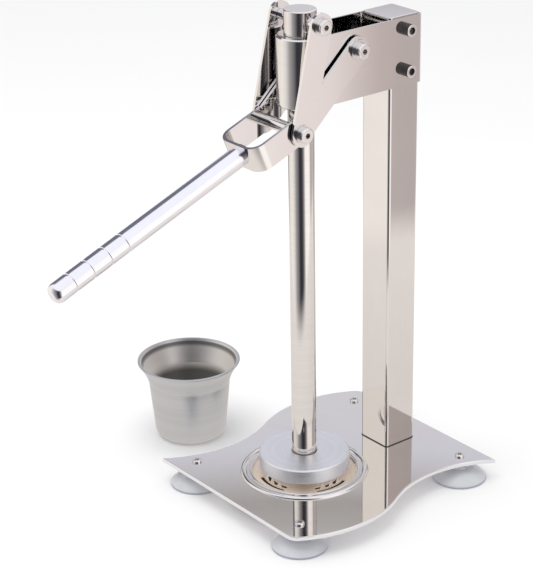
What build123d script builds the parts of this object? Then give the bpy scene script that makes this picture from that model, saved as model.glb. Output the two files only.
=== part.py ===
from build123d import *
import os
from math import asin, cos, degrees, radians, sin, sqrt

# Bench-top lever press: a round ram slides in a guide sleeve at the top of a square column,
# pulled down by a forked hand lever and a pair of links. Millimetres, +Z up.
# The origin is the point of the bench straight below the ram. The handle points along -Y,
# the column stands on the +Y side, and +X is the side to the right of the handle.

# ---- driving dimensions -------------------------------------------------------------------
foot_height = 19.0            # bench to the underside of the base plate
plate_thickness = 4.0
plate_front = -97.0           # front edge of the plate
plate_rear = 161.0            # rear edge of the plate
plate_half_width = 105.0      # half width where the wavy sides cross over
plate_bulge = 15.5            # how far a side swells out
corner_in = 7.0               # the swelling side meets its end this far inside the half width
corner_out = 7.0              # and the hollow side this far outside it
blunt_corner_radius = 14.0
sharp_corner_radius = 7.0
edge_round = 0.8

foot_x = 83.0                 # suction foot centres
foot_inset = 22.5             # from the front and rear edges of the plate
foot_radius = 28.0
foot_neck_radius = 9.0
foot_lip = 1.2
foot_lip_width = 3.1          # flat ring that grips the bench
foot_shoulder = 0.62          # share of the height where the neck meets the skirt
foot_hollow = 0.36            # share of the height that is hollow
foot_hollow_crown = 4.0       # radius of the flat at the top of the hollow
foot_screw_bite = 0.4         # share of the height that the screw goes into
foot_screw_radius = 2.5
foot_screw_head_radius = 4.8
foot_screw_head_height = 2.6
foot_screw_head_round = 1.8
foot_screw_slot_length = 5.2
foot_screw_slot_width = 1.1
foot_screw_slot_depth = 1.5

rim_radius = 65.0             # outside of the raised rim of the strainer
rim_inner_radius = 53.6
rim_bead_width = 6.0          # rounded bead round the outside of the rim
rim_bead_height = 2.4
rim_flat_height = 0.9         # flat of the rim between its two beads
inner_bead_width = 2.6
inner_bead_height = 1.6
seat_radius = 57.0            # hole in the plate that the strainer sits in
strainer_recess = 2.0         # floor of the strainer below the top of the plate
strainer_gauge = 1.6
window_inner_radius = 36.0
window_outer_radius = 47.0
tooth_row_radius = 42.0       # rib that crosses each window and carries its teeth
window_angle = 48.0
tooth_width = 6.0
tooth_height = 5.4
tooth_gauge = 1.2
tooth_spread = 13.5           # degrees between the three teeth of a window

column_width = 40.0           # along X
column_depth = 38.0           # along Y
column_wall = 2.0
column_corner = 3.0
column_front = 93.5           # ram axis to the front face of the column
column_height = 455.5
cap_gauge = 2.0
cap_inset = 0.2               # cap inside the outline of the column
cap_round = 0.6
foot_block_height = 22.0
column_screw_spread = 8.0     # each of the two column screws from the middle
column_screw_head_radius = 6.5
column_screw_head_height = 4.4
column_screw_head_round = 1.6
column_screw_key_radius = 2.9
column_screw_key_depth = 2.5
column_screw_end_gap = 4.0    # end of the screw below the top of the block

bracket_height = 67.5
bracket_gauge = 2.0
bracket_bend = 4.0            # outside radius of the two folds
bolt_pitch = 40.2             # between the two cross bolts
bolt_lift = 1.7               # their middle above the middle of the bracket
bolt_radius = 4.0
bolt_hole_gap = 0.1
bolt_head_radius = 6.0
bolt_head_length = 8.6
bolt_head_round = 0.7
bolt_key_radius = 3.6
bolt_key_depth = 4.4
bolt_tail = 8.0               # thread beyond the bracket, inside the nut
nut_radius = 7.5              # to the corners
nut_height = 6.5
nut_dome_radius = 6.2
nut_dome_height = 12.0
nut_dome_round = 4.5

ram_radius = 12.5
bush_wall = 2.5
bush_length = 18.0
sleeve_overhang = 3.0         # sleeve radius beyond half the column width
sleeve_chamfer = 1.2
running_gap = 0.05            # radial play of every bearing
side_play = 0.15              # play along a pivot

disc_radius = 46.0
disc_thickness = 15.0
disc_rest_gap = 7.0           # plate top to the underside of the disc, ram down
disc_top_chamfer = 1.4
disc_bottom_chamfer = 0.6
socket_depth = 6.0
disc_screw_head_radius = 7.0
disc_screw_recess = 4.5
disc_screw_below = 0.3        # head of the screw inside the face of the disc
disc_screw_bite = 15.0        # thread inside the ram
disc_screw_key_radius = 3.4
disc_screw_key_depth = 3.0
ram_thread_depth = 20.0
head_radius = 15.5
head_top_round = 1.4
head_bottom_round = 0.5
head_above_pin = 11.0
head_socket_depth = 8.0       # ram into its head, if the pin leaves room
head_socket_wall = 0.5        # least metal between ram and pin
stop_gap = 0.2                # between the ram head and the sleeve when the ram is down

pivot_below_top = 19.0        # main pivot below the top of the bracket
lever_arm = 97.0              # main pivot to link pivot
lever_rest_angle = 42.5       # the arm points this far below the horizontal when down
link_length = 100.5
bar_width = 26.0              # fork arms and front of the fork
link_width = 25.0
fork_gauge = 3.0
link_gauge = 3.0
fork_side_gap = 1.5           # fork arm to the sleeve or the bracket, whichever is wider
link_side_gap = 1.0
fork_bend = 14.0              # outside radius of the fork's front corners
fork_reach = 54.0             # link pivot to the front face of the fork, along the handle
fork_rise = 2.0               # the handle's axis passes this far above the link pivot
handle_drop = 21.3            # degrees the handle points below the horizontal when down

handle_radius = 10.0
handle_length = 226.0
handle_stud_radius = 5.0
handle_stud_end = 1.5         # stud beyond its nut
handle_nut_thickness = 5.0
handle_nut_radius = 8.7       # to the corners
tip_round = 7.0
groove_count = 4
groove_pitch = 20.5
groove_from_tip = 22.0
groove_width = 2.0
groove_depth = 0.9

pin_radius = 5.0              # main pivot and ram head pin
link_pin_radius = 4.0
spacer_radius = 6.0           # tube between the fork arms
spacer_to_ram = 4.5           # it passes this far in front of the ram
head_pin_end_gap = 0.2
head_pin_chamfer = 0.4
washer_radius = 9.0
washer_gauge = 1.5
pivot_washer_radius = 10.2
lock_washer_radius = 8.2
button_radius = 7.5
button_height = 5.0
button_round = 1.3
screw_radius = 3.0
screw_depth = 10.0
hex_key_radius = 2.9
hex_key_depth = 2.6

cup_x = -179.0
cup_y = -12.0
cup_height = 86.0
cup_rim_radius = 54.5
cup_neck_radius = 43.3
cup_neck_height = 62.0
cup_base_radius = 38.2
cup_base_round = 9.0
cup_wall = 1.2
cup_bead = 1.4
cup_lip_round = 0.6
cup_flare_out = 0.36          # how far the curve of the flare has gone out half way up

# ---- positions worked out from them -------------------------------------------------------
plate_top = foot_height + plate_thickness
plate_middle = (plate_front + plate_rear) / 2
column_top = plate_top + column_height
column_rear = column_front + column_depth
column_middle = column_front + column_depth / 2
bracket_top = column_top + 0.5
bracket_bottom = bracket_top - bracket_height
bracket_inner = column_width / 2
bracket_outer = bracket_inner + bracket_gauge
sleeve_radius = bracket_inner + sleeve_overhang
sleeve_bore = ram_radius + running_gap + bush_wall

fork_inner = max(sleeve_radius, bracket_outer) + fork_side_gap
fork_outer = fork_inner + fork_gauge
link_inner = fork_outer + link_side_gap
link_outer = link_inner + link_gauge

rest = radians(lever_rest_angle)
pivot_z = bracket_top - pivot_below_top
link_y = -(ram_radius + spacer_to_ram + spacer_radius)
pivot_y = link_y + lever_arm * cos(rest)
link_z = pivot_z - lever_arm * sin(rest)
head_pin_z = link_z + sqrt(link_length**2 - link_y**2)
head_bottom = bracket_top + stop_gap
head_top = head_pin_z + head_above_pin
disc_bottom = plate_top + disc_rest_gap
disc_top = disc_bottom + disc_thickness

drop = radians(handle_drop)
forward = Vector(0, -cos(drop), -sin(drop))
upward = Vector(0, -sin(drop), cos(drop))
handle_root = Vector(0, link_y, link_z) + upward * fork_rise
fork_front = handle_root + forward * fork_reach

sides = {"left": -1, "right": 1}
os.makedirs("parts", exist_ok=True)


def save(builder, name):
    """Label a finished piece and write it to its own file."""
    builder.part.label = name
    export_step(builder.part, f"parts/{name}.step")


def across(y, z, x=0.0, side=1):
    """Plane square to X at (x, y, z), facing outward on the given side."""
    return Plane(origin=(x, y, z), x_dir=(0, side, 0), z_dir=(side, 0, 0))


# ---- base plate ---------------------------------------------------------------------------
# Both long sides are the same wave: the plate looks the same after half a turn about its middle.
foot_rows = {"front": plate_front + foot_inset, "rear": plate_rear - foot_inset}
foot_places = {}
for row, y in foot_rows.items():
    for side, sign in sides.items():
        foot_places[f"{row}_{side}"] = (sign * foot_x, y)
column_screw_places = [(-column_screw_spread, column_middle), (column_screw_spread, column_middle)]

with BuildPart() as base_plate:
    with BuildSketch(Plane.XY.offset(foot_height)):
        with BuildLine():
            quarter = (plate_rear - plate_front) / 4
            swell = plate_half_width + plate_bulge
            blunt = (plate_half_width - corner_in, plate_front)
            crossing = (plate_half_width, plate_middle)
            sharp = (plate_half_width + corner_out, plate_rear)
            right_swell = ThreePointArc(blunt, (swell, plate_middle - quarter), crossing)
            TangentArc(crossing, sharp, tangent=right_swell % 1)
            Line(sharp, (-blunt[0], plate_rear))
            left_swell = ThreePointArc(
                (-blunt[0], plate_rear), (-swell, plate_middle + quarter), (-crossing[0], plate_middle)
            )
            TangentArc((-crossing[0], plate_middle), (-sharp[0], plate_front), tangent=left_swell % 1)
            Line((-sharp[0], plate_front), blunt)
        outline = make_face()
        corners = outline.vertices().sort_by(Axis.Y)
        front_corners = corners[:2].sort_by(Axis.X)
        rear_corners = corners[-2:].sort_by(Axis.X)
        fillet([front_corners[1], rear_corners[0]], radius=blunt_corner_radius)
        fillet([front_corners[0], rear_corners[1]], radius=sharp_corner_radius)
    extrude(amount=plate_thickness)
    fillet(base_plate.faces().sort_by(Axis.Z)[-1].outer_wire().edges(), radius=edge_round)
    with BuildSketch(Plane.XY.offset(foot_height)):
        Circle(seat_radius)
        with Locations(*foot_places.values()):
            Circle(foot_screw_radius)
        with Locations(*column_screw_places):
            Circle(bolt_radius)
    extrude(amount=plate_thickness, mode=Mode.SUBTRACT)
save(base_plate, "base_plate")

# ---- strainer: a shallow dish with a beaded rim, four drain windows and rows of teeth -----
floor_top = plate_top - strainer_recess
floor_bottom = floor_top - strainer_gauge
with BuildPart() as strainer:
    with BuildSketch(Plane.XZ):
        with BuildLine():
            Polyline(
                (rim_inner_radius, plate_top),
                (rim_inner_radius, floor_top),
                (0, floor_top),
                (0, floor_bottom),
                (seat_radius, floor_bottom),
                (seat_radius, plate_top),
                (rim_radius, plate_top),
            )
            bead_end = (rim_radius - rim_bead_width, plate_top + rim_flat_height)
            bead_crest = (rim_radius - rim_bead_width / 2, plate_top + rim_bead_height)
            ThreePointArc((rim_radius, plate_top), bead_crest, bead_end)
            inner_bead_start = (rim_inner_radius + inner_bead_width, plate_top + rim_flat_height)
            Line(bead_end, inner_bead_start)
            inner_crest = (rim_inner_radius + inner_bead_width / 2, plate_top + inner_bead_height)
            ThreePointArc(inner_bead_start, inner_crest, (rim_inner_radius, plate_top))
        make_face()
    revolve(axis=Axis.Z)
    rib_inside = tooth_row_radius - tooth_gauge / 2
    rib_outside = tooth_row_radius + tooth_gauge / 2
    for quarter_turn in range(4):
        for inside, outside in ((window_inner_radius, rib_inside), (rib_outside, window_outer_radius)):
            with BuildSketch(Plane.XY.offset(floor_bottom).rotated((0, 0, 90 * quarter_turn))):
                with BuildLine():
                    half = window_angle / 2
                    CenterArc((0, 0), outside, -half, window_angle)
                    CenterArc((0, 0), inside, -half, window_angle)
                    for turn in (-half, half):
                        start = Vector(inside, 0).rotate(Axis.Z, turn)
                        end = Vector(outside, 0).rotate(Axis.Z, turn)
                        Line(start, end)
                make_face()
            extrude(amount=strainer_gauge, mode=Mode.SUBTRACT)
    for quarter_turn in range(4):
        for step in (-tooth_spread, 0, tooth_spread):
            facing = Plane.XY.rotated((0, 0, 90 * quarter_turn + step))
            outer = rib_outside
            stand = Plane(
                origin=facing.from_local_coords((outer, 0, floor_bottom)),
                x_dir=facing.y_dir,
                z_dir=facing.x_dir,
            )
            with BuildSketch(stand):
                with BuildLine():
                    rise = strainer_gauge + tooth_height
                    base = strainer_gauge
                    Polyline(
                        (-tooth_width / 2, 0),
                        (tooth_width / 2, 0),
                        (tooth_width / 2, base),
                        (0, rise),
                        (-tooth_width / 2, base),
                        close=True,
                    )
                make_face()
            extrude(amount=-tooth_gauge)
save(strainer, "strainer")

# ---- four suction feet and their screws ---------------------------------------------------
for place, (x, y) in foot_places.items():
    upright = Plane(origin=(x, y, 0), x_dir=(1, 0, 0), z_dir=(0, -1, 0))
    axis = Axis((x, y, 0), (0, 0, 1))
    with BuildPart() as suction_foot:
        with BuildSketch(upright):
            with BuildLine():
                neck_base = foot_height * foot_shoulder
                hollow_top = foot_height * foot_hollow
                hollow_radius = foot_radius - foot_lip_width
                Polyline(
                    (foot_radius, foot_lip),
                    (foot_radius, 0),
                    (hollow_radius, 0),
                )
                hollow_bend = (hollow_radius * 0.62, hollow_top * 0.72)
                ThreePointArc((hollow_radius, 0), hollow_bend, (foot_hollow_crown, hollow_top))
                Polyline(
                    (foot_hollow_crown, hollow_top),
                    (0, hollow_top),
                    (0, foot_height),
                    (foot_neck_radius, foot_height),
                    (foot_neck_radius, neck_base),
                )
                skirt_bend = (foot_radius * 0.68, neck_base * 0.7)
                ThreePointArc((foot_neck_radius, neck_base), skirt_bend, (foot_radius, foot_lip))
            make_face()
        revolve(axis=axis)
        with BuildSketch(Plane.XY.offset(foot_height)):
            with Locations((x, y)):
                Circle(foot_screw_radius)
        extrude(amount=-foot_height * foot_screw_bite, mode=Mode.SUBTRACT)
    save(suction_foot, f"suction_foot_{place}")

    with BuildPart() as foot_screw:
        with BuildSketch(Plane.XY.offset(plate_top)):
            with Locations((x, y)):
                Circle(foot_screw_head_radius)
        extrude(amount=foot_screw_head_height)
        fillet(foot_screw.faces().sort_by(Axis.Z)[-1].edges(), radius=foot_screw_head_round)
        with BuildSketch(Plane.XY.offset(plate_top + foot_screw_head_height)):
            with Locations((x, y)):
                Rectangle(foot_screw_slot_length, foot_screw_slot_width)
                Rectangle(foot_screw_slot_width, foot_screw_slot_length)
        extrude(amount=-foot_screw_slot_depth, mode=Mode.SUBTRACT)
        with BuildSketch(Plane.XY.offset(plate_top)):
            with Locations((x, y)):
                Circle(foot_screw_radius)
        extrude(amount=-(plate_thickness + foot_height * foot_screw_bite))
    save(foot_screw, f"foot_screw_{place}")

# ---- column, its top cap, and the block and screws that hold it to the plate --------------
bolt_heights = (
    bracket_bottom + bolt_lift + (bracket_height - bolt_pitch) / 2,
    bracket_bottom + bolt_lift + (bracket_height + bolt_pitch) / 2,
)
with BuildPart() as column:
    with BuildSketch(Plane.XY.offset(plate_top)):
        with Locations((0, column_middle)):
            RectangleRounded(column_width, column_depth, column_corner)
            RectangleRounded(
                column_width - 2 * column_wall,
                column_depth - 2 * column_wall,
                column_corner - column_wall,
                mode=Mode.SUBTRACT,
            )
    extrude(amount=column_height)
    for z in bolt_heights:
        with BuildSketch(across(column_middle, z)):
            Circle(bolt_radius + bolt_hole_gap)
        extrude(amount=column_width, both=True, mode=Mode.SUBTRACT)
save(column, "column")

with BuildPart() as column_cap:
    with BuildSketch(Plane.XY.offset(column_top)):
        with Locations((0, column_middle)):
            RectangleRounded(column_width - 2 * cap_inset, column_depth - 2 * cap_inset, column_corner)
    extrude(amount=cap_gauge)
    fillet(column_cap.faces().sort_by(Axis.Z)[-1].edges(), radius=cap_round)
save(column_cap, "column_cap")

with BuildPart() as column_foot:
    with BuildSketch(Plane.XY.offset(plate_top)):
        with Locations((0, column_middle)):
            RectangleRounded(
                column_width - 2 * column_wall,
                column_depth - 2 * column_wall,
                column_corner - column_wall,
            )
        with Locations(*column_screw_places):
            Circle(bolt_radius, mode=Mode.SUBTRACT)
    extrude(amount=foot_block_height)
save(column_foot, "column_foot")

for side, (x, y) in zip(sides, column_screw_places):
    with BuildPart() as column_screw:
        with BuildSketch(Plane.XY.offset(foot_height)):
            with Locations((x, y)):
                Circle(column_screw_head_radius)
        extrude(amount=-column_screw_head_height)
        fillet(column_screw.faces().sort_by(Axis.Z)[0].edges(), radius=column_screw_head_round)
        with BuildSketch(Plane.XY.offset(foot_height)):
            with Locations((x, y)):
                Circle(bolt_radius)
        extrude(amount=plate_thickness + foot_block_height - column_screw_end_gap)
        with BuildSketch(Plane.XY.offset(foot_height - column_screw_head_height)):
            with Locations((x, y)):
                RegularPolygon(column_screw_key_radius, 6)
        extrude(amount=column_screw_key_depth, mode=Mode.SUBTRACT)
    save(column_screw, f"column_screw_{side}")

# ---- head bracket: a sheet folded round the back of the column, open above and below ------
with BuildPart() as head_bracket:
    bracket_rear = column_rear + bracket_gauge
    with BuildSketch(Plane.XY.offset(bracket_bottom)):
        with BuildLine():
            FilletPolyline(
                (bracket_outer, 0),
                (bracket_outer, bracket_rear),
                (-bracket_outer, bracket_rear),
                (-bracket_outer, 0),
                radius=bracket_bend,
            )
            FilletPolyline(
                (-bracket_inner, 0),
                (-bracket_inner, column_rear),
                (bracket_inner, column_rear),
                (bracket_inner, 0),
                radius=bracket_bend - bracket_gauge,
            )
            Line((bracket_outer, 0), (bracket_inner, 0))
            Line((-bracket_outer, 0), (-bracket_inner, 0))
        make_face()
        Circle(sleeve_radius, mode=Mode.SUBTRACT)
    extrude(amount=bracket_height)
    for z in bolt_heights:
        with BuildSketch(across(column_middle, z)):
            Circle(bolt_radius + bolt_hole_gap)
        extrude(amount=column_width, both=True, mode=Mode.SUBTRACT)
    with BuildSketch(across(pivot_y, pivot_z)):
        Circle(pin_radius)
    extrude(amount=column_width, both=True, mode=Mode.SUBTRACT)
save(head_bracket, "head_bracket")

# ---- cross bolts of the bracket, with nuts on the left ------------------------------------
for name, z in zip(("lower", "upper"), bolt_heights):
    with BuildPart() as bracket_bolt:
        with BuildSketch(across(column_middle, z, bracket_outer)):
            Circle(bolt_head_radius)
        extrude(amount=bolt_head_length)
        fillet(bracket_bolt.faces().sort_by(Axis.X)[-1].edges(), radius=bolt_head_round)
        with BuildSketch(across(column_middle, z, bracket_outer + bolt_head_length)):
            RegularPolygon(bolt_key_radius, 6)
        extrude(amount=-bolt_key_depth, mode=Mode.SUBTRACT)
        with BuildSketch(across(column_middle, z, bracket_outer)):
            Circle(bolt_radius)
        extrude(amount=-(2 * bracket_outer + bolt_tail))
    save(bracket_bolt, f"bracket_bolt_{name}")

    with BuildPart() as bracket_nut:
        with BuildSketch(across(column_middle, z, -bracket_outer, -1)):
            RegularPolygon(nut_radius, 6)
        extrude(amount=nut_height)
        with BuildSketch(across(column_middle, z, -bracket_outer, -1)):
            Circle(nut_dome_radius)
        extrude(amount=nut_dome_height)
        fillet(bracket_nut.faces().sort_by(Axis.X)[0].edges(), radius=nut_dome_round)
        with BuildSketch(across(column_middle, z, -bracket_outer, -1)):
            Circle(bolt_radius)
        extrude(amount=bolt_tail, mode=Mode.SUBTRACT)
    save(bracket_nut, f"bracket_nut_{name}")

# ---- guide sleeve and its two bushes ------------------------------------------------------
with BuildPart() as guide_sleeve:
    with BuildSketch(Plane.XY.offset(bracket_bottom)):
        Circle(sleeve_radius)
    extrude(amount=bracket_height)
    rims = guide_sleeve.edges().filter_by(GeomType.CIRCLE)
    chamfer(rims, length=sleeve_chamfer)
    with BuildSketch(Plane.XY.offset(bracket_bottom)):
        Circle(sleeve_bore)
    extrude(amount=bracket_height, mode=Mode.SUBTRACT)
save(guide_sleeve, "guide_sleeve")

for name, z in (("lower", bracket_bottom), ("upper", bracket_top - bush_length)):
    with BuildPart() as guide_bush:
        with BuildSketch(Plane.XY.offset(z)):
            Circle(sleeve_bore)
            Circle(ram_radius + running_gap, mode=Mode.SUBTRACT)
        extrude(amount=bush_length)
    save(guide_bush, f"guide_bush_{name}")

# ---- ram: rod, head, head pin, disc and disc screw ----------------------------------------
room_below_pin = head_pin_z - pin_radius - head_socket_wall - head_bottom
head_socket = min(head_socket_depth, room_below_pin)
with BuildPart() as ram_rod:
    with BuildSketch(Plane.XY.offset(disc_top - socket_depth)):
        Circle(ram_radius)
    extrude(amount=head_bottom + head_socket - disc_top + socket_depth)
    with BuildSketch(Plane.XY.offset(disc_top - socket_depth)):
        Circle(bolt_radius)
    extrude(amount=ram_thread_depth, mode=Mode.SUBTRACT)
save(ram_rod, "ram_rod")

with BuildPart() as ram_head:
    with BuildSketch(Plane.XY.offset(head_bottom)):
        Circle(head_radius)
    extrude(amount=head_top - head_bottom)
    fillet(ram_head.faces().sort_by(Axis.Z)[-1].edges(), radius=head_top_round)
    fillet(ram_head.faces().sort_by(Axis.Z)[0].edges(), radius=head_bottom_round)
    with BuildSketch(Plane.XY.offset(head_bottom)):
        Circle(ram_radius)
    extrude(amount=head_socket, mode=Mode.SUBTRACT)
    with BuildSketch(across(0, head_pin_z)):
        Circle(pin_radius)
    extrude(amount=2 * head_radius, both=True, mode=Mode.SUBTRACT)
save(ram_head, "ram_head")

with BuildPart() as head_pin:
    with BuildSketch(across(0, head_pin_z)):
        Circle(pin_radius)
    extrude(amount=link_inner - head_pin_end_gap, both=True)
    chamfer(head_pin.edges().filter_by(GeomType.CIRCLE), length=head_pin_chamfer)
save(head_pin, "head_pin")

with BuildPart() as press_disc:
    with BuildSketch(Plane.XY.offset(disc_bottom)):
        Circle(disc_radius)
    extrude(amount=disc_thickness)
    chamfer(press_disc.faces().sort_by(Axis.Z)[-1].edges(), length=disc_top_chamfer)
    chamfer(press_disc.faces().sort_by(Axis.Z)[0].edges(), length=disc_bottom_chamfer)
    with BuildSketch(Plane.XY.offset(disc_top - socket_depth)):
        Circle(ram_radius)
    extrude(amount=socket_depth, mode=Mode.SUBTRACT)
    with BuildSketch(Plane.XY.offset(disc_bottom)):
        Circle(bolt_radius)
    extrude(amount=disc_thickness, mode=Mode.SUBTRACT)
    with BuildSketch(Plane.XY.offset(disc_bottom)):
        Circle(disc_screw_head_radius)
    extrude(amount=disc_screw_recess, mode=Mode.SUBTRACT)
save(press_disc, "press_disc")

with BuildPart() as disc_screw:
    with BuildSketch(Plane.XY.offset(disc_bottom + disc_screw_below)):
        Circle(disc_screw_head_radius)
    extrude(amount=disc_screw_recess - disc_screw_below)
    with BuildSketch(Plane.XY.offset(disc_bottom + disc_screw_recess)):
        Circle(bolt_radius)
    extrude(amount=disc_thickness - disc_screw_recess - socket_depth + disc_screw_bite)
    with BuildSketch(Plane.XY.offset(disc_bottom + disc_screw_below)):
        RegularPolygon(disc_screw_key_radius, 6)
    extrude(amount=disc_screw_key_depth, mode=Mode.SUBTRACT)
save(disc_screw, "disc_screw")

# ---- fork: a flat bar folded into a U, with arms that turn up to the main pivot -----------
arm_along = (Vector(0, pivot_y, pivot_z) - Vector(0, link_y, link_z)).normalized()
arm_middle = (Vector(0, pivot_y, pivot_z) + Vector(0, link_y, link_z)) / 2
arm_plane = Plane(origin=arm_middle, x_dir=arm_along, z_dir=(1, 0, 0))
front_plane = Plane(origin=handle_root, x_dir=-forward, z_dir=(1, 0, 0))
plan_plane = Plane(origin=handle_root, x_dir=forward, z_dir=upward)
reach_back = lever_arm + bar_width
with BuildPart() as fork:
    with BuildSketch(arm_plane):
        SlotCenterToCenter(lever_arm, bar_width)
    extrude(amount=fork_outer, both=True)
    with BuildSketch(front_plane):
        with Locations((-fork_reach / 2, 0)):
            Rectangle(fork_reach, bar_width)
    extrude(amount=fork_outer, both=True)
    with BuildSketch(plan_plane.offset(-2 * reach_back)):
        with BuildLine():
            FilletPolyline(
                (-reach_back, fork_outer),
                (fork_reach, fork_outer),
                (fork_reach, -fork_outer),
                (-reach_back, -fork_outer),
                radius=fork_bend,
            )
            FilletPolyline(
                (-reach_back, fork_inner),
                (fork_reach - fork_gauge, fork_inner),
                (fork_reach - fork_gauge, -fork_inner),
                (-reach_back, -fork_inner),
                radius=fork_bend - fork_gauge,
            )
            Line((-reach_back, fork_outer), (-reach_back, fork_inner))
            Line((-reach_back, -fork_outer), (-reach_back, -fork_inner))
        make_face()
    extrude(amount=4 * reach_back, mode=Mode.INTERSECT)
    with BuildSketch(across(pivot_y, pivot_z)):
        Circle(pin_radius + running_gap)
    extrude(amount=2 * fork_outer, both=True, mode=Mode.SUBTRACT)
    with BuildSketch(across(link_y, link_z)):
        Circle(link_pin_radius)
    extrude(amount=2 * fork_outer, both=True, mode=Mode.SUBTRACT)
    with BuildSketch(Plane(origin=fork_front, x_dir=(1, 0, 0), z_dir=forward)):
        Circle(handle_stud_radius)
    extrude(amount=-2 * fork_gauge, mode=Mode.SUBTRACT)
save(fork, "fork")

# ---- handle: a grooved bar screwed into the front of the fork -----------------------------
handle_plane = Plane(origin=fork_front, x_dir=(1, 0, 0), z_dir=forward)
with BuildPart() as handle_bar:
    with BuildSketch(handle_plane):
        Circle(handle_radius)
    extrude(amount=handle_length)
    tip_edge = handle_bar.edges().filter_by(GeomType.CIRCLE).sort_by(Axis.Y)[0]
    fillet(tip_edge, radius=tip_round)
    for index in range(groove_count):
        depth = handle_length - groove_from_tip - index * groove_pitch
        with BuildSketch(handle_plane.offset(depth - groove_width / 2)):
            Circle(handle_radius + 1.0)
            Circle(handle_radius - groove_depth, mode=Mode.SUBTRACT)
        extrude(amount=groove_width, mode=Mode.SUBTRACT)
    with BuildSketch(handle_plane):
        Circle(handle_stud_radius)
    extrude(amount=-(fork_gauge + handle_nut_thickness + handle_stud_end))
save(handle_bar, "handle_bar")

with BuildPart() as handle_nut:
    with BuildSketch(handle_plane.offset(-fork_gauge)):
        RegularPolygon(handle_nut_radius, 6)
        Circle(handle_stud_radius, mode=Mode.SUBTRACT)
    extrude(amount=-handle_nut_thickness)
save(handle_nut, "handle_nut")


def button_screw(y, z, seat, tip, side):
    """Button head screw square to X: head from seat outward, shank from seat in to tip."""
    with BuildPart() as screw:
        with BuildSketch(across(y, z, side * seat, side)):
            Circle(button_radius)
        extrude(amount=button_height)
        face = screw.faces().sort_by(Axis.X)[-1 if side > 0 else 0]
        fillet(face.edges(), radius=button_round)
        with BuildSketch(across(y, z, side * (seat + button_height), side)):
            RegularPolygon(hex_key_radius, 6)
        extrude(amount=-hex_key_depth, mode=Mode.SUBTRACT)
        with BuildSketch(across(y, z, side * seat, side)):
            Circle(screw_radius)
        extrude(amount=-(seat - tip))
    return screw


def washer(y, z, inner_face, gauge, bore, side, radius=washer_radius):
    """Flat washer square to X with its inner face at the given distance from the middle."""
    with BuildPart() as ring:
        with BuildSketch(across(y, z, side * inner_face, side)):
            Circle(radius)
            Circle(bore, mode=Mode.SUBTRACT)
        extrude(amount=gauge)
    return ring


def tapped_pin(y, z, radius, half_length):
    """Pin across the press with a screw hole in each end."""
    with BuildPart() as pin:
        with BuildSketch(across(y, z)):
            Circle(radius)
        extrude(amount=half_length, both=True)
        for side in sides.values():
            with BuildSketch(across(y, z, side * half_length, side)):
                Circle(screw_radius)
            extrude(amount=-screw_depth, mode=Mode.SUBTRACT)
    return pin


# ---- main pivot: fork to bracket ----------------------------------------------------------
pivot_pin_end = fork_outer + side_play
save(tapped_pin(pivot_y, pivot_z, pin_radius, pivot_pin_end), "pivot_pin")
for side, sign in sides.items():
    spacer_gauge = fork_inner - side_play - bracket_outer
    spacer = washer(pivot_y, pivot_z, bracket_outer, spacer_gauge, pin_radius, sign)
    save(spacer, f"pivot_spacer_{side}")
    outer_washer = washer(
        pivot_y, pivot_z, pivot_pin_end, washer_gauge, screw_radius, sign, pivot_washer_radius
    )
    save(outer_washer, f"pivot_washer_{side}")
    lock_face = pivot_pin_end + washer_gauge
    lock_washer = washer(
        pivot_y, pivot_z, lock_face, washer_gauge, screw_radius, sign, lock_washer_radius
    )
    save(lock_washer, f"pivot_lock_washer_{side}")
    seat = lock_face + washer_gauge
    screw = button_screw(pivot_y, pivot_z, seat, pivot_pin_end - screw_depth, sign)
    save(screw, f"pivot_screw_{side}")

# ---- link pivot: links to fork, with a spacer tube between the fork arms ------------------
with BuildPart() as fork_spacer:
    with BuildSketch(across(link_y, link_z)):
        Circle(spacer_radius)
        Circle(link_pin_radius, mode=Mode.SUBTRACT)
    extrude(amount=fork_inner, both=True)
save(fork_spacer, "fork_spacer")

link_pin_end = link_outer + side_play
save(tapped_pin(link_y, link_z, link_pin_radius, link_pin_end), "link_pin")
for side, sign in sides.items():
    lower_washer = washer(link_y, link_z, link_pin_end, washer_gauge, screw_radius, sign)
    save(lower_washer, f"link_washer_lower_{side}")
    seat = link_pin_end + washer_gauge
    screw = button_screw(link_y, link_z, seat, link_pin_end - screw_depth, sign)
    save(screw, f"link_screw_lower_{side}")

# ---- links, with the screws that hold their upper ends to the head pin --------------------
link_top = Vector(0, 0, head_pin_z)
link_bottom = Vector(0, link_y, link_z)
link_along = (link_top - link_bottom).normalized()
link_middle = (link_top + link_bottom) / 2
for side, sign in sides.items():
    seat_plane = Plane(
        origin=link_middle + Vector(sign * link_inner, 0, 0), x_dir=link_along, z_dir=(sign, 0, 0)
    )
    with BuildPart() as link:
        with BuildSketch(seat_plane):
            SlotCenterToCenter(link_length, link_width)
            with Locations((-link_length / 2, 0)):
                Circle(link_pin_radius + running_gap, mode=Mode.SUBTRACT)
            with Locations((link_length / 2, 0)):
                Circle(screw_radius, mode=Mode.SUBTRACT)
        extrude(amount=link_gauge)
    save(link, f"link_{side}")
    upper_washer = washer(0, head_pin_z, link_outer, washer_gauge, screw_radius, sign)
    save(upper_washer, f"link_washer_upper_{side}")
    screw = button_screw(0, head_pin_z, link_outer + washer_gauge, link_inner, sign)
    save(screw, f"link_screw_upper_{side}")

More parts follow.
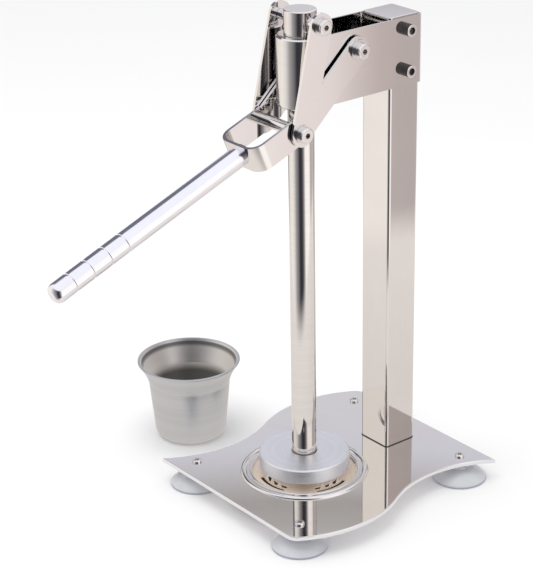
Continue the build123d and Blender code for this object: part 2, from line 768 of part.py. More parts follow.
# ---- loose cup that stands beside the press -----------------------------------------------
with BuildPart() as cup:
    with BuildSketch(Plane(origin=(cup_x, cup_y, 0), x_dir=(1, 0, 0), z_dir=(0, -1, 0))):
        with BuildLine():
            flare_height = cup_height - cup_bead
            flare_middle = (
                cup_neck_radius + cup_flare_out * (cup_rim_radius - cup_neck_radius),
                (cup_neck_height + flare_height) / 2,
            )
            floor_radius = cup_base_radius - cup_base_round
            wall_foot = (cup_base_radius, cup_base_round)
            Line((0, 0), (floor_radius, 0))
            RadiusArc((floor_radius, 0), wall_foot, -cup_base_round)
            Line(wall_foot, (cup_neck_radius, cup_neck_height))
            ThreePointArc((cup_neck_radius, cup_neck_height), flare_middle, (cup_rim_radius, flare_height))
            Line((cup_rim_radius, flare_height), (cup_rim_radius, cup_height))
            inner_rim = (cup_rim_radius - cup_wall - cup_bead, cup_height)
            Line((cup_rim_radius, cup_height), inner_rim)
            inner_flare = (flare_middle[0] - cup_wall, flare_middle[1])
            inner_neck = (cup_neck_radius - cup_wall, cup_neck_height)
            inner_foot = (cup_base_radius - cup_wall, cup_base_round)
            ThreePointArc(inner_rim, inner_flare, inner_neck)
            Line(inner_neck, inner_foot)
            RadiusArc(inner_foot, (floor_radius, cup_wall), cup_base_round - cup_wall)
            Line((floor_radius, cup_wall), (0, cup_wall))
            Line((0, cup_wall), (0, 0))
        make_face()
    revolve(axis=Axis((cup_x, cup_y, 0), (0, 0, 1)))
    rim_edges = cup.edges().filter_by(GeomType.CIRCLE).sort_by(Axis.Z)[-2:]
    fillet(rim_edges.sort_by(SortBy.RADIUS)[-1], radius=cup_lip_round)
save(cup, "cup")

# ---- the lever's travel, for the record ---------------------------------------------------
lever_travel = 84.0
raised = radians(lever_travel - lever_rest_angle)
raised_y = pivot_y - lever_arm * cos(raised)
raised_z = pivot_z + lever_arm * sin(raised)
raised_pin_z = raised_z + sqrt(link_length**2 - raised_y**2)
stroke = raised_pin_z - head_pin_z
link_turn = lever_travel - degrees(asin(link_y / link_length) - asin(raised_y / link_length))
print(f"pivot y {pivot_y} z {pivot_z}; link pivot y {link_y:.3f} z {link_z:.3f}; head pin z {head_pin_z:.3f}")
print(f"travel {lever_travel} deg, stroke {stroke:.3f} mm, link turn {link_turn:.3f} deg")
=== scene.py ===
import math
import bmesh
import bpy
from mathutils import Matrix, Vector


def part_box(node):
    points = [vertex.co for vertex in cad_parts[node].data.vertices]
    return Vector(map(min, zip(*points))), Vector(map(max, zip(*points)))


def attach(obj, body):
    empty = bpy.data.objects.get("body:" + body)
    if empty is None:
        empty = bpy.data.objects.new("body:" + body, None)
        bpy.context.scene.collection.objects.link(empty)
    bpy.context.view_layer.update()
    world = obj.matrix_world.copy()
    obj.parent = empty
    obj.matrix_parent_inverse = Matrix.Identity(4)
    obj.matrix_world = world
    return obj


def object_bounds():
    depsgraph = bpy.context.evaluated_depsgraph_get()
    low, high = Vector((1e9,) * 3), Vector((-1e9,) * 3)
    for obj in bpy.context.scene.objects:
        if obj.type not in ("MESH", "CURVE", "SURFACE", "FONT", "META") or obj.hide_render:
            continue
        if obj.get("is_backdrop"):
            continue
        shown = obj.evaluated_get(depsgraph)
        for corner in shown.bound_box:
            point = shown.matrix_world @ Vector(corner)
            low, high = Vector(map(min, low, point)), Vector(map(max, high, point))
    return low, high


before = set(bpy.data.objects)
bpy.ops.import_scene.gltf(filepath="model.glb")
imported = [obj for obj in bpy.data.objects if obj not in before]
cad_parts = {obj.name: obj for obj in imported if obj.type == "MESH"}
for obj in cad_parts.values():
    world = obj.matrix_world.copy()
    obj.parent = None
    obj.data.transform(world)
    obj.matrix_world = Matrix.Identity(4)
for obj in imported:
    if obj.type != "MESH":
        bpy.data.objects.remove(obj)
bpy.context.view_layer.update()
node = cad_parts


# ---- the studio ---------------------------------------------------------------------------
# A pale bench top in soft light. Polished steel only shows what stands round it, so a light
# tent stands round the press: white cloth with dark cards and grey gaps painted on its inside,
# which is how bright metal is lit to show its shape. Only reflections see the tent.
class Wire:
    """One output of a shader node. Arithmetic on it adds Math nodes."""

    def __init__(self, tree, socket=None):
        self.tree = tree
        self.socket = socket

    def node(self, kind, settings=None, inputs=None, output=0):
        made = self.tree.nodes.new(kind)
        for name, setting in (settings or {}).items():
            if name == "stops":
                steps = made.color_ramp.elements
                steps[0].position, steps[-1].position = setting[0][0], setting[-1][0]
                for place, _ in setting[1:-1]:
                    steps.new(place)
                for step, (_, colour) in zip(steps, setting):
                    step.color = (*colour, 1.0)
            elif name == "easing":
                made.color_ramp.interpolation = setting
            else:
                setattr(made, name, setting)
        for name, value in (inputs or {}).items():
            if isinstance(value, Wire):
                self.tree.links.new(value.socket, made.inputs[name])
            else:
                made.inputs[name].default_value = value
        return Wire(self.tree, made.outputs[output] if made.outputs else None)

    def maths(self, operation, *values):
        return self.node("ShaderNodeMath", {"operation": operation}, dict(enumerate(values)))

    def __add__(self, other):
        return self.maths("ADD", self, other)

    def __sub__(self, other):
        return self.maths("SUBTRACT", self, other)

    def __rsub__(self, other):
        return self.maths("SUBTRACT", other, self)

    def __mul__(self, other):
        return self.maths("MULTIPLY", self, other)

    def __truediv__(self, other):
        return self.maths("DIVIDE", self, other)

    __radd__ = __add__
    __rmul__ = __mul__

    def between(self, low, high):
        """0 up to low, 1 from high on, and a smooth rise from one to the other."""
        settings = {"interpolation_type": "SMOOTHSTEP"}
        return self.node("ShaderNodeMapRange", settings, {0: self, 1: low, 2: high})

    def tint(self, first, second):
        """The first colour where this is 0, the second where it is 1."""
        pair = [c if isinstance(c, Wire) else (*c, 1.0) for c in (first, second)]
        return self.node("ShaderNodeMix", {"data_type": "RGBA"}, {0: self, 6: pair[0], 7: pair[1]}, 2)

    def parts(self):
        """The x, y and z of a vector."""
        split = self.node("ShaderNodeSeparateXYZ", None, {0: self})
        return [Wire(self.tree, split.socket.node.outputs[i]) for i in range(3)]


def new_material(name):
    made = bpy.data.materials.new(name)
    made.use_nodes = True
    made.node_tree.nodes.clear()
    return made, Wire(made.node_tree)


def new_piece(name, shape):
    """A finished mesh from a bmesh, at the origin, with no turn and no scale."""
    mesh = bpy.data.meshes.new(name)
    shape.to_mesh(mesh)
    shape.free()
    made = bpy.data.objects.new(name, mesh)
    bpy.context.scene.collection.objects.link(made)
    return made


camera_place = Vector((1.3556, -1.1051, 0.9795))
camera_turn = math.radians(50.89)
camera_tilt = math.radians(24.22)
camera_roll = math.radians(-0.62)
ahead = Vector((
    -math.sin(camera_turn) * math.cos(camera_tilt),
    math.cos(camera_turn) * math.cos(camera_tilt),
    -math.sin(camera_tilt)))
level = Vector((math.cos(camera_turn), math.sin(camera_turn), 0.0))
raised = level.cross(ahead)
camera_right = level * math.cos(camera_roll) + raised * math.sin(camera_roll)
camera_up = raised * math.cos(camera_roll) - level * math.sin(camera_roll)
camera_data = bpy.data.cameras.new("camera")
camera_data.lens = 120.44
camera_data.shift_x = -0.0585
camera_data.shift_y = 0.0431
camera_data.clip_start, camera_data.clip_end = 0.05, 60.0
camera = bpy.data.objects.new("camera", camera_data)
camera_frame = Matrix((camera_right, camera_up, -ahead)).transposed().to_4x4()
camera.matrix_world = Matrix.Translation(camera_place) @ camera_frame
bpy.context.scene.collection.objects.link(camera)
bpy.context.scene.camera = camera
bpy.context.scene.view_settings.view_transform = "Standard"

# the bench top, plain and pale, with a painted shadow only right under the strainer
bench_reach = 9.0
bench_drop = 0.0006
shadow_radius, shadow_edge = 0.055, 0.090
bench_paint, wire = new_material("bench_paint")
place = wire.node("ShaderNodeTexCoord", output=3)
x, y, z = place.parts()
cloud = wire.node("ShaderNodeTexNoise", None, {"Vector": place, "Scale": 1.7, "Detail": 3.0})
# painted shadow: near-black within shadow_radius of the strainer's axis, fading out by shadow_edge
open_floor = wire.maths("SQRT", x * x + y * y).between(shadow_radius, shadow_edge)
floor_with_painted_shadow = open_floor.tint((0.03, 0.03, 0.03), cloud.tint((0.88, 0.88, 0.885), (0.90, 0.90, 0.90)))
coat = wire.node("ShaderNodeBsdfPrincipled", None, {
    "Base Color": floor_with_painted_shadow, "Roughness": 0.75, "Specular IOR Level": 0.2})
wire.node("ShaderNodeOutputMaterial", None, {0: coat})
shape = bmesh.new()
bmesh.ops.create_grid(
    shape, x_segments=1, y_segments=1, size=bench_reach,
    matrix=Matrix.Translation((0, 0, -bench_drop)))
floor = new_piece("floor", shape)
floor.data.materials.append(bench_paint)
floor.visible_glossy = False
floor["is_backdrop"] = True

# the near round of the bench as the steel mirrors it: warm white, fading out at its edge
near_centre = Vector((-0.078, 0.248, -0.0003))
near_radius = 0.78
warm_radius, pale_radius = 0.20, 0.60
near_paint, wire = new_material("near_bench_glow")
place = wire.node("ShaderNodeTexCoord", output=3)
x, y, z = place.parts()
x, y = x - near_centre.x, y - near_centre.y
reach = wire.maths("SQRT", x * x + y * y)
warm = reach.between(warm_radius, pale_radius).tint((0.84, 0.79, 0.75), (0.92, 0.86, 0.82))
glow = wire.node("ShaderNodeEmission", None, {"Color": warm, "Strength": 1.0})
clear = wire.node("ShaderNodeBsdfTransparent")
edge = reach.between(near_radius - 0.17, near_radius - 0.01)
faded = wire.node("ShaderNodeMixShader", None, {0: edge, 1: glow, 2: clear})
wire.node("ShaderNodeOutputMaterial", None, {0: faded})
near_paint.cycles.emission_sampling = "NONE"
shape = bmesh.new()
bmesh.ops.create_circle(
    shape, cap_ends=True, segments=128, radius=near_radius,
    matrix=Matrix.Translation(near_centre))
near_bench = new_piece("near_bench", shape)
near_bench.data.materials.append(near_paint)


def only_mirrored(thing):
    """Leaves a thing in reflections and nowhere else."""
    thing.visible_camera = thing.visible_diffuse = False
    thing.visible_transmission = thing.visible_shadow = False


only_mirrored(near_bench)
near_bench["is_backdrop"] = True

# the tent: a ball round the press, painted by angle round it and by height
tent_turn = math.radians(50.9)
tent_radius = 1.15
tent_height = 0.25
tent_paint, wire = new_material("tent_paint")
place = wire.node("ShaderNodeTexCoord", output=3)
x, y, z = place.parts()
toward_door = x * math.sin(tent_turn) - y * math.cos(tent_turn)
toward_right = x * math.cos(tent_turn) + y * math.sin(tent_turn)
round_tent = wire.maths("ARCTAN2", toward_right, toward_door) / math.tau + 0.5
rise = (z - tent_height) / tent_radius


def round_stops(*stops):
    """Ramp stops from angles round the tent, counted from its open side to the right."""
    return [((angle + 180) / 360, colour) for angle, colour in stops]


band = round_tent.node("ShaderNodeValToRGB", {"easing": "LINEAR", "stops": round_stops(
    (-180, (0.07, 0.07, 0.08)), (-156, (0.09, 0.09, 0.10)), (-140, (0.84, 0.78, 0.73)),
    (-122, (0.99, 0.91, 0.84)), (-94, (1.07, 1.02, 0.96)), (-71, (0.88, 0.84, 0.82)),
    (-51, (0.42, 0.40, 0.40)), (-31, (0.21, 0.20, 0.21)), (-17, (0.040, 0.040, 0.050)),
    (-2, (0.045, 0.045, 0.055)), (8, (0.10, 0.09, 0.10)), (21, (0.42, 0.39, 0.39)),
    (33, (1.16, 1.12, 1.08)), (59, (1.22, 1.16, 1.12)), (74, (1.00, 0.92, 0.90)),
    (79, (0.93, 0.85, 0.83)), (82.6, (0.64, 0.55, 0.53)), (85, (0.57, 0.50, 0.49)),
    (104, (0.60, 0.54, 0.53)), (144, (0.78, 0.75, 0.74)), (158, (0.40, 0.38, 0.40)),
    (166, (0.08, 0.08, 0.09)), (180, (0.07, 0.07, 0.08)))},
    {0: round_tent})
cloth = rise.node("ShaderNodeValToRGB", {"easing": "LINEAR", "stops": [
    (0.16, (0.78, 0.77, 0.80)), (0.24, (0.76, 0.75, 0.80)), (0.29, (0.73, 0.73, 0.80)),
    (0.325, (0.62, 0.61, 0.65)), (0.365, (0.44, 0.415, 0.40)), (0.40, (0.49, 0.47, 0.46)),
    (0.44, (0.72, 0.71, 0.76)), (0.60, (0.85, 0.85, 0.90))]},
    {0: rise})
overhead = (1.04, 1.04, 1.09)
card_grey = (0.17, 0.17, 0.22)
behind = wire.maths("ABSOLUTE", round_tent - 0.5).between(0.375, 0.425) * rise.between(-0.03, 0.05)
paint = behind.tint(band, cloth)
paint = rise.between(0.46, 0.66).tint(paint, overhead)
side_card = round_tent.between(0.05, 0.085) * (1 - round_tent.between(0.160, 0.182))
side_card = side_card * rise.between(0.04, 0.12) * (1 - rise.between(0.88, 0.96))
paint = side_card.tint(paint, card_grey)
glow = wire.node("ShaderNodeEmission", None, {"Color": paint, "Strength": 1.0})
wire.node("ShaderNodeOutputMaterial", None, {0: glow})
tent_paint.cycles.emission_sampling = "NONE"
shape = bmesh.new()
bmesh.ops.create_uvsphere(
    shape, u_segments=96, v_segments=48, radius=tent_radius,
    matrix=Matrix.Translation((0, 0, tent_height)))
tent = new_piece("light_tent", shape)
tent.data.materials.append(tent_paint)
only_mirrored(tent)
tent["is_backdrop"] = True

# an even sky and one large round lamp above light the bench and the satin pieces
lamp_aim = Vector((0, 0, 0.1))
sky = bpy.data.worlds.new("studio")
sky.use_nodes = True
sky.node_tree.nodes["Background"].inputs["Color"].default_value = (1.0, 1.0, 1.0, 1.0)
sky.node_tree.nodes["Background"].inputs["Strength"].default_value = 0.95
sky.cycles_visibility.glossy = False
bpy.context.scene.world = sky
soft_box = bpy.data.lights.new("soft_box", "AREA")
soft_box.shape = "DISK"
soft_box.size = 2.2
soft_box.energy = 24.0
lamp = bpy.data.objects.new("soft_box", soft_box)
lamp.location = (-0.3, -0.5, 2.6)
lamp.rotation_euler = (lamp_aim - lamp.location).to_track_quat("-Z", "Y").to_euler()
lamp.visible_glossy = False
bpy.context.scene.collection.objects.link(lamp)


# ---- base plate ---------------------------------------------------------------------------
# Four millimetre stainless sheet, cut to a wavy outline, its top edge rounded over and then
# mirror polished. It keeps faint buffing lines, wipe marks and the slow waves of rolled sheet.
def polished(name, colour, dull=0.05, smear=0.04, grain=(260, 9, 9), wave=0.00005, edge=None):
    """Polished steel: buffing lines drawn out along an axis, wipe marks and slow waves."""
    made, wire = new_material(name)
    place = wire.node("ShaderNodeTexCoord", output=3)
    drawn = wire.node("ShaderNodeMapping", None, {"Vector": place, "Scale": grain})
    lines = wire.node("ShaderNodeTexNoise", None, {
        "Vector": drawn, "Scale": 9.0, "Detail": 5.0, "Roughness": 0.65})
    wipes = wire.node("ShaderNodeTexNoise", None, {
        "Vector": place, "Scale": 26.0, "Detail": 4.0, "Distortion": 0.8})
    waves = wire.node("ShaderNodeTexNoise", None, {"Vector": place, "Scale": 8.0, "Detail": 1.0})
    darker = tuple(c * 0.965 for c in colour)
    base = (lines * 0.6 + wipes * 0.4).between(0.35, 0.65).tint(darker, colour)
    rough = wipes.between(0.42, 0.74) * smear + lines.between(0.3, 0.7) * (dull * 0.6) + dull * 0.6
    surface = wire.node("ShaderNodeBump", None, {"Strength": 1.0, "Distance": wave, "Height": waves})
    # faces standing upright get the edge colour, a painted reflection, and a rougher finish
    if edge:
        facing = wire.node("ShaderNodeTexCoord", output=1).parts()[2]
        cut = 1 - facing.between(0.25, 0.6)
        base = cut.tint(base, edge)
        rough = rough + cut * 0.22
    metal = wire.node("ShaderNodeBsdfPrincipled", None, {
        "Base Color": base, "Metallic": 1.0, "Roughness": rough, "Normal": surface})
    wire.node("ShaderNodeOutputMaterial", None, {0: metal})
    return made


def dress(material, *names):
    """Puts one finish on CAD nodes."""
    for name in names:
        node[name].data.materials.clear()
        node[name].data.materials.append(material)


steel_colour = (0.80, 0.785, 0.775)
# the light, cool colour of the plate's upright edges: painted reflection
painted_edge_light = (0.90, 0.93, 1.0)
dress(polished("plate_steel", steel_colour, dull=0.03, smear=0.03, edge=painted_edge_light), "base_plate")


# ---- strainer -----------------------------------------------------------------------------
# A shallow dish pressed from thinner sheet, with a rolled rim that hangs it in the plate. Its
# floor has four drain windows, each crossed by a rib with three teeth, and a warm, duller face.
floor_clean, floor_worn = (0.80, 0.67, 0.54), (0.73, 0.61, 0.50)
rim_worn = (0.77, 0.755, 0.745)
tooth_colour = (0.86, 0.80, 0.73)
floor_radius = 0.0525
tooth_reach = 0.0440
strainer_steel, wire = new_material("strainer_steel")
place = wire.node("ShaderNodeTexCoord", output=3)
x, y, z = place.parts()
dish_radius = wire.maths("SQRT", x * x + y * y)
track = wire.node("ShaderNodeCombineXYZ", None, {0: dish_radius, 2: z})
rings = wire.node("ShaderNodeTexNoise", None, {"Vector": track, "Scale": 1400.0, "Detail": 3.0})
wipes = wire.node("ShaderNodeTexNoise", None, {"Vector": place, "Scale": 40.0, "Detail": 3.0})
plate_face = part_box("base_plate")[1].z
on_floor = 1 - dish_radius.between(floor_radius, floor_radius + 0.001)
base = on_floor.tint(steel_colour, floor_clean)
base = wipes.between(0.3, 0.7).tint(base, on_floor.tint(rim_worn, floor_worn))
rough = on_floor * 0.30 + rings.between(0.35, 0.65) * 0.05 + 0.05
tooth = z.between(plate_face - 0.0019, plate_face - 0.0015)
tooth = tooth * (1 - dish_radius.between(tooth_reach, tooth_reach + 0.0005))
base = tooth.tint(base, tooth_colour)
matt = 1 - on_floor * 0.65
metal = wire.node("ShaderNodeBsdfPrincipled", None, {
    "Base Color": base, "Metallic": matt, "Roughness": rough})
wire.node("ShaderNodeOutputMaterial", None, {0: metal})
dress(strainer_steel, "strainer")


# ---- suction feet and their screws --------------------------------------------------------
# Four moulded cups of soft clear grey-blue plastic, pushed up against the plate and held by a
# cross-headed screw from above. The moulding is smooth, slightly cloudy, and grips by its lip.
lip_height, lip_end = 0.0009, 0.0021
neck_height, neck_end = 0.0125, 0.0165
foot_plastic, wire = new_material("foot_plastic")
place = wire.node("ShaderNodeTexCoord", output=3)
cloud = wire.node("ShaderNodeTexNoise", None, {"Vector": place, "Scale": 70.0, "Detail": 3.0})
skin = wire.node("ShaderNodeTexNoise", None, {"Vector": place, "Scale": 900.0, "Detail": 2.0})
pebble = wire.node("ShaderNodeBump", None, {"Strength": 0.4, "Distance": 0.00004, "Height": skin})
height = place.parts()[2]
body = cloud.between(0.3, 0.7).tint((0.80, 0.81, 0.85), (0.85, 0.86, 0.89))
lip = 1 - height.between(lip_height, lip_end)
# the neck right under the plate is painted dark: painted shade
painted_neck_shade = height.between(neck_height, neck_end)
clear = lip.tint(painted_neck_shade.tint(body, (0.34, 0.35, 0.38)), (0.50, 0.53, 0.62))
soft = wire.node("ShaderNodeBsdfPrincipled", None, {
    "Base Color": clear, "Roughness": cloud * 0.1 + 0.2, "IOR": 1.42, "Transmission Weight": 0.35,
    "Coat Weight": 0.3, "Coat Roughness": 0.08, "Normal": pebble})
wire.node("ShaderNodeOutputMaterial", None, {0: soft})
dress(foot_plastic, *[n for n in node if n.startswith("suction_foot")])


rib_count = 60


def fastener(name, colour, dull, centre=None, key=0.0, knurl=False):
    """Cold-headed stainless with the faint pitting of tumbled screws. Within radius key of centre
    (y, z) the key socket gets painted shade, and a knurled barrel is painted near-black as dark
    reflection, a little darker in its cuts."""
    made, wire = new_material(name)
    place = wire.node("ShaderNodeTexCoord", output=3)
    pits = wire.node("ShaderNodeTexNoise", None, {"Vector": place, "Scale": 900.0, "Detail": 2.0})
    stains = wire.node("ShaderNodeTexNoise", None, {"Vector": place, "Scale": 160.0, "Detail": 3.0})
    base = stains.between(0.3, 0.7).tint(tuple(c * 0.93 for c in colour), colour)
    rough = stains * 0.08 + dull
    relief = wire.node("ShaderNodeBump", None, {"Strength": 0.5, "Distance": 0.00002, "Height": pits})
    if centre:
        x, y, z = place.parts()
        y, z = y - centre[0], z - centre[1]
        reach = wire.maths("SQRT", y * y + z * z)
        # painted shade in the key socket: dark inside radius key round the centre
        base = (1 - reach.between(key * 0.93, key)).tint(base, (0.26, 0.255, 0.25))
    if knurl:
        # the knurled barrel is painted near-black, a painted dark reflection, a little darker in its cuts
        along = wire.node("ShaderNodeTexCoord", output=1).parts()[0]
        barrel = (1 - wire.maths("ABSOLUTE", along).between(0.35, 0.6)) * reach.between(key, key * 1.1)
        ribs = wire.maths("SINE", wire.maths("ARCTAN2", z, y) * rib_count)
        painted_dark_barrel = ribs.between(-0.4, 0.9).tint((0.020, 0.019, 0.020), (0.11, 0.105, 0.105))
        base = barrel.tint(base, painted_dark_barrel)
        rough = rough + barrel * 0.08
        relief = wire.node("ShaderNodeBump", None, {
            "Strength": 0.6, "Distance": 0.00015, "Height": ribs * barrel, "Normal": relief})
    metal = wire.node("ShaderNodeBsdfPrincipled", None, {
        "Base Color": base, "Metallic": 1.0, "Roughness": rough, "Normal": relief})
    wire.node("ShaderNodeOutputMaterial", None, {0: metal})
    return made


screw_steel = fastener("screw_steel", (0.80, 0.785, 0.78), 0.12)
dress(screw_steel, *[n for n in node if n.startswith(("foot_screw", "column_screw"))])


# ---- column, cap and head bracket ---------------------------------------------------------
# Square stainless tube with rounded corners, closed by a flat cap. The bracket is one sheet
# folded round the back of it and held by two socket-head bolts that run right through.
column_steel = polished("column_steel", steel_colour, dull=0.04, smear=0.03, grain=(260, 260, 5))
dress(column_steel, "column", "column_foot")
cap_steel = polished("cap_steel", (0.80, 0.79, 0.80), dull=0.05, smear=0.04, grain=(9, 260, 9))
dress(cap_steel, "column_cap")
bracket_steel = polished("bracket_steel", steel_colour, dull=0.05, smear=0.03, grain=(9, 6, 260))
dress(bracket_steel, "head_bracket")
dress(fastener("nut_steel", (0.80, 0.78, 0.77), 0.05), "bracket_nut_lower", "bracket_nut_upper")
bolt_colour = (0.90, 0.89, 0.885)
bolt_key_radius = 0.0037
for name in ("bracket_bolt_lower", "bracket_bolt_upper"):
    low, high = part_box(name)
    middle = ((low.y + high.y) / 2, (low.z + high.z) / 2)
    dress(fastener(name + "_steel", bolt_colour, 0.07, middle, bolt_key_radius, knurl=True), name)

# the fine dark line where the foot of the tube meets the plate: a thin dark band laid on as painted shade
# of the gap
gap_shade, wire = new_material("painted_gap_shade")
place = wire.node("ShaderNodeTexCoord", output=3)
speck = wire.node("ShaderNodeTexNoise", None, {"Vector": place, "Scale": 700.0, "Detail": 2.0})
base = speck.between(0.3, 0.7).tint((0.050, 0.045, 0.042), (0.085, 0.078, 0.072))
dull = wire.node("ShaderNodeBsdfPrincipled", None, {"Base Color": base, "Roughness": speck * 0.2 + 0.5})
wire.node("ShaderNodeOutputMaterial", None, {0: dull})
low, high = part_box("column")
seam_out, seam_height, seam_corner = 0.0005, 0.0007, 0.0033
shape = bmesh.new()
spread = Matrix.Diagonal((high.x - low.x + 2 * seam_out, high.y - low.y + 2 * seam_out, seam_height, 1.0))
middle = Vector(((low.x + high.x) / 2, (low.y + high.y) / 2, plate_face + seam_height / 2))
bmesh.ops.create_cube(shape, size=1.0, matrix=Matrix.Translation(middle) @ spread)
uprights = [e for e in shape.edges if abs(e.verts[0].co.z - e.verts[1].co.z) > seam_height / 2]
bmesh.ops.bevel(
    shape, geom=uprights, offset=seam_corner, segments=6, profile=0.5, affect="EDGES", material=-1)
seam = new_piece("column_seam", shape)
seam.data.materials.append(gap_shade)
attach(seam, "frame")


# ---- guide sleeve and bushes --------------------------------------------------------------
# A turned and polished barrel let into the front of the bracket, chamfered at both ends, with
# a plain bush of pale polymer in each end for the ram to run in.
def turned(name, colour, dull, rings=0.03, pitch=1400.0, cut=0.000004, smear=0.02):
    """Metal off the lathe: rings round the ram's axis on its sides and faces, partly polished out."""
    made, wire = new_material(name)
    place = wire.node("ShaderNodeTexCoord", output=3)
    x, y, z = place.parts()
    radius = wire.maths("SQRT", x * x + y * y)
    track = wire.node("ShaderNodeCombineXYZ", None, {0: radius, 2: z})
    fine = wire.node("ShaderNodeTexNoise", None, {
        "Vector": track, "Scale": pitch, "Detail": 3.0, "Roughness": 0.6})
    broad = wire.node("ShaderNodeTexNoise", None, {"Vector": track, "Scale": pitch * 0.12, "Detail": 2.0})
    wipes = wire.node("ShaderNodeTexNoise", None, {"Vector": place, "Scale": 45.0, "Detail": 3.0})
    base = (fine * 0.5 + broad * 0.5).between(0.35, 0.65).tint(tuple(c * 0.95 for c in colour), colour)
    rough = fine.between(0.3, 0.7) * rings + wipes.between(0.4, 0.7) * smear + dull
    relief = wire.node("ShaderNodeBump", None, {"Strength": 1.0, "Distance": cut, "Height": fine})
    metal = wire.node("ShaderNodeBsdfPrincipled", None, {
        "Base Color": base, "Metallic": 1.0, "Roughness": rough, "Normal": relief})
    wire.node("ShaderNodeOutputMaterial", None, {0: metal})
    return made


sleeve_steel = turned("sleeve_steel", steel_colour, 0.05)
dress(sleeve_steel, "guide_sleeve")
bush_polymer, wire = new_material("bush_polymer")
place = wire.node("ShaderNodeTexCoord", output=3)
speck = wire.node("ShaderNodeTexNoise", None, {"Vector": place, "Scale": 300.0, "Detail": 3.0})
base = speck.between(0.3, 0.7).tint((0.60, 0.58, 0.53), (0.68, 0.66, 0.61))
dull = wire.node("ShaderNodeBsdfPrincipled", None, {"Base Color": base, "Roughness": speck * 0.15 + 0.35})
wire.node("ShaderNodeOutputMaterial", None, {0: dull})
dress(bush_polymer, "guide_bush_lower", "guide_bush_upper")


# ---- ram and its head ---------------------------------------------------------------------
# Twenty-five millimetre ground bar, buffed bright, with a turned head that takes the pin of
# the links. The head is a little less bright than the bar and shows its lathe rings.
dress(turned("ram_steel", steel_colour, 0.035, rings=0.02), "ram_rod")
dress(turned("head_steel", (0.78, 0.76, 0.75), 0.08, rings=0.05), "ram_head")
pin_steel = fastener("pin_steel", (0.80, 0.785, 0.775), 0.06)
dress(pin_steel, "head_pin", "link_pin", "pivot_pin", "fork_spacer")


# ---- press disc ---------------------------------------------------------------------------
# A thick round of aluminium faced on the lathe, left satin, with a bright chamfer round the
# top. The ram sits in a shallow socket in it and a screw from below holds the two together.
disc_colour = (0.85, 0.87, 0.91)
disc_aluminium = turned("disc_aluminium", disc_colour, 0.40, rings=0.08, pitch=1100.0, cut=0.000006)
dress(disc_aluminium, "press_disc")
node["press_disc"].visible_glossy = False
dress(screw_steel, "disc_screw")

# the dark line round the ram where it enters its socket: a thin dark ring laid on as painted shade of the
# gap
disc_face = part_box("press_disc")[1].z
line_foot_radius, line_top_radius = 0.0131, 0.0129
line_height, line_lift = 0.0005, 0.0002
shape = bmesh.new()
bmesh.ops.create_cone(
    shape, cap_ends=True, segments=96, radius1=line_foot_radius, radius2=line_top_radius,
    depth=line_height, matrix=Matrix.Translation((0, 0, disc_face + line_lift)))
joint_line = new_piece("disc_joint_line", shape)
joint_line.data.materials.append(gap_shade)
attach(joint_line, "ram")


# ---- links, fork and pivots ---------------------------------------------------------------
# Polished flat bar: two straight links with round ends, and a U folded from the same bar whose
# arms turn up to the main pivot. Button-head screws with washers close every pin.
bar_steel = polished("bar_steel", (0.81, 0.79, 0.78), dull=0.05, smear=0.04, grain=(9, 9, 260))
dress(bar_steel, "link_left", "link_right", "fork")
dress(screw_steel, "handle_nut")
screw_key_radius = 0.0027
for name in [n for n in node if n.startswith(("pivot_screw", "link_screw"))]:
    low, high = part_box(name)
    middle = ((low.y + high.y) / 2, (low.z + high.z) / 2)
    dress(fastener(name + "_steel", (0.84, 0.83, 0.82), 0.16, middle, screw_key_radius), name)
washer_steel = fastener("washer_steel", (0.80, 0.785, 0.78), 0.12)
dress(washer_steel, *[n for n in node if "washer" in n or n.startswith("pivot_spacer")])


# ---- handle -------------------------------------------------------------------------------
# A bright aluminium bar with a domed tip and four grooves for the grip, screwed to the front
# of the fork by a stud and a nut.
handle_colour = (0.88, 0.885, 0.93)
handle_aluminium = polished(
    "handle_aluminium", handle_colour, dull=0.15, smear=0.05, grain=(9, 9, 9), wave=0.00001)
dress(handle_aluminium, "handle_bar")


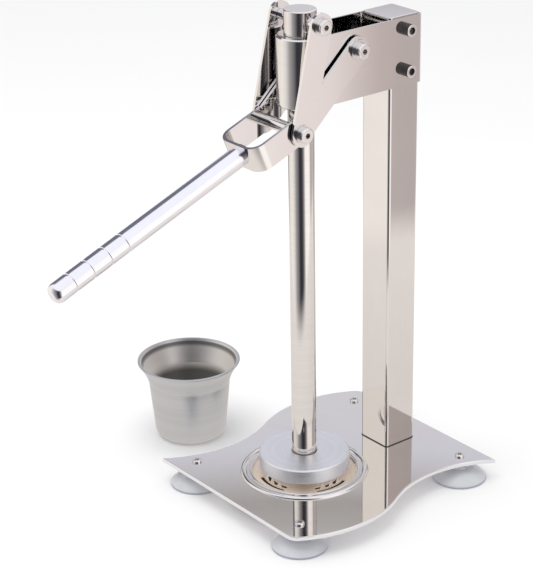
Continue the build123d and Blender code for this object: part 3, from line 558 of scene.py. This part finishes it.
# ---- cup ----------------------------------------------------------------------------------
# A spun stainless cup with a flared mouth and a rolled lip. It is satin outside, with the fine
# level lines of spinning, and duller inside, painted dark there as shade and dark reflection. It stands
# apart from the press.
cup_centre = (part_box("cup")[0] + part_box("cup")[1]) / 2
deep_height, deep_end = 0.052, 0.066
mouth_height, mouth_end = 0.0775, 0.0815
lip_height, lip_end = 0.083, 0.0845
cup_steel, wire = new_material("cup_steel")
place = wire.node("ShaderNodeTexCoord", output=3)
x, y, z = place.parts()
x, y = x - cup_centre.x, y - cup_centre.y
radius = wire.maths("SQRT", x * x + y * y)
track = wire.node("ShaderNodeCombineXYZ", None, {0: radius, 2: z})
spun = wire.node("ShaderNodeTexNoise", None, {"Vector": track, "Scale": 1500.0, "Detail": 3.0})
broad = wire.node("ShaderNodeTexNoise", None, {"Vector": track, "Scale": 160.0, "Detail": 2.0})
facing = wire.node("ShaderNodeNewGeometry", None, None, 1)
nx, ny, nz = facing.parts()
inward = (x * nx + y * ny) / radius
inside = wire.maths("MAXIMUM", 0 - inward, nz - 0.35).between(0.02, 0.12)
inside = inside * (1 - z.between(lip_height, lip_end))
deep_painted_shade = 1 - z.between(deep_height, deep_end)
satin = (spun * 0.5 + broad * 0.5).between(0.35, 0.65)
outer = satin.tint((0.56, 0.58, 0.605), (0.62, 0.635, 0.66))
# inside: painted shade and dark reflection, darkest low in the cup, light on the upper wall, dark again
# in the flared mouth
inner = z.between(mouth_height, mouth_end).tint((0.58, 0.57, 0.56), (0.17, 0.17, 0.17))
inner = deep_painted_shade.tint(inner, (0.09, 0.09, 0.088))
rough = inside * 0.04 + spun.between(0.3, 0.7) * 0.08 + 0.32
relief = wire.node("ShaderNodeBump", None, {"Strength": 1.0, "Distance": 0.000005, "Height": spun})
base = inside.tint(outer, inner)
metal = wire.node("ShaderNodeBsdfPrincipled", None, {
    "Base Color": base, "Metallic": 1.0, "Roughness": rough, "Normal": relief})
wire.node("ShaderNodeOutputMaterial", None, {0: metal})
dress(cup_steel, "cup")
node["cup"].visible_glossy = False


# ---- sizes --------------------------------------------------------------------------------
# The box of everything in the scene but the backdrop.
bpy.context.view_layer.update()
low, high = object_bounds()
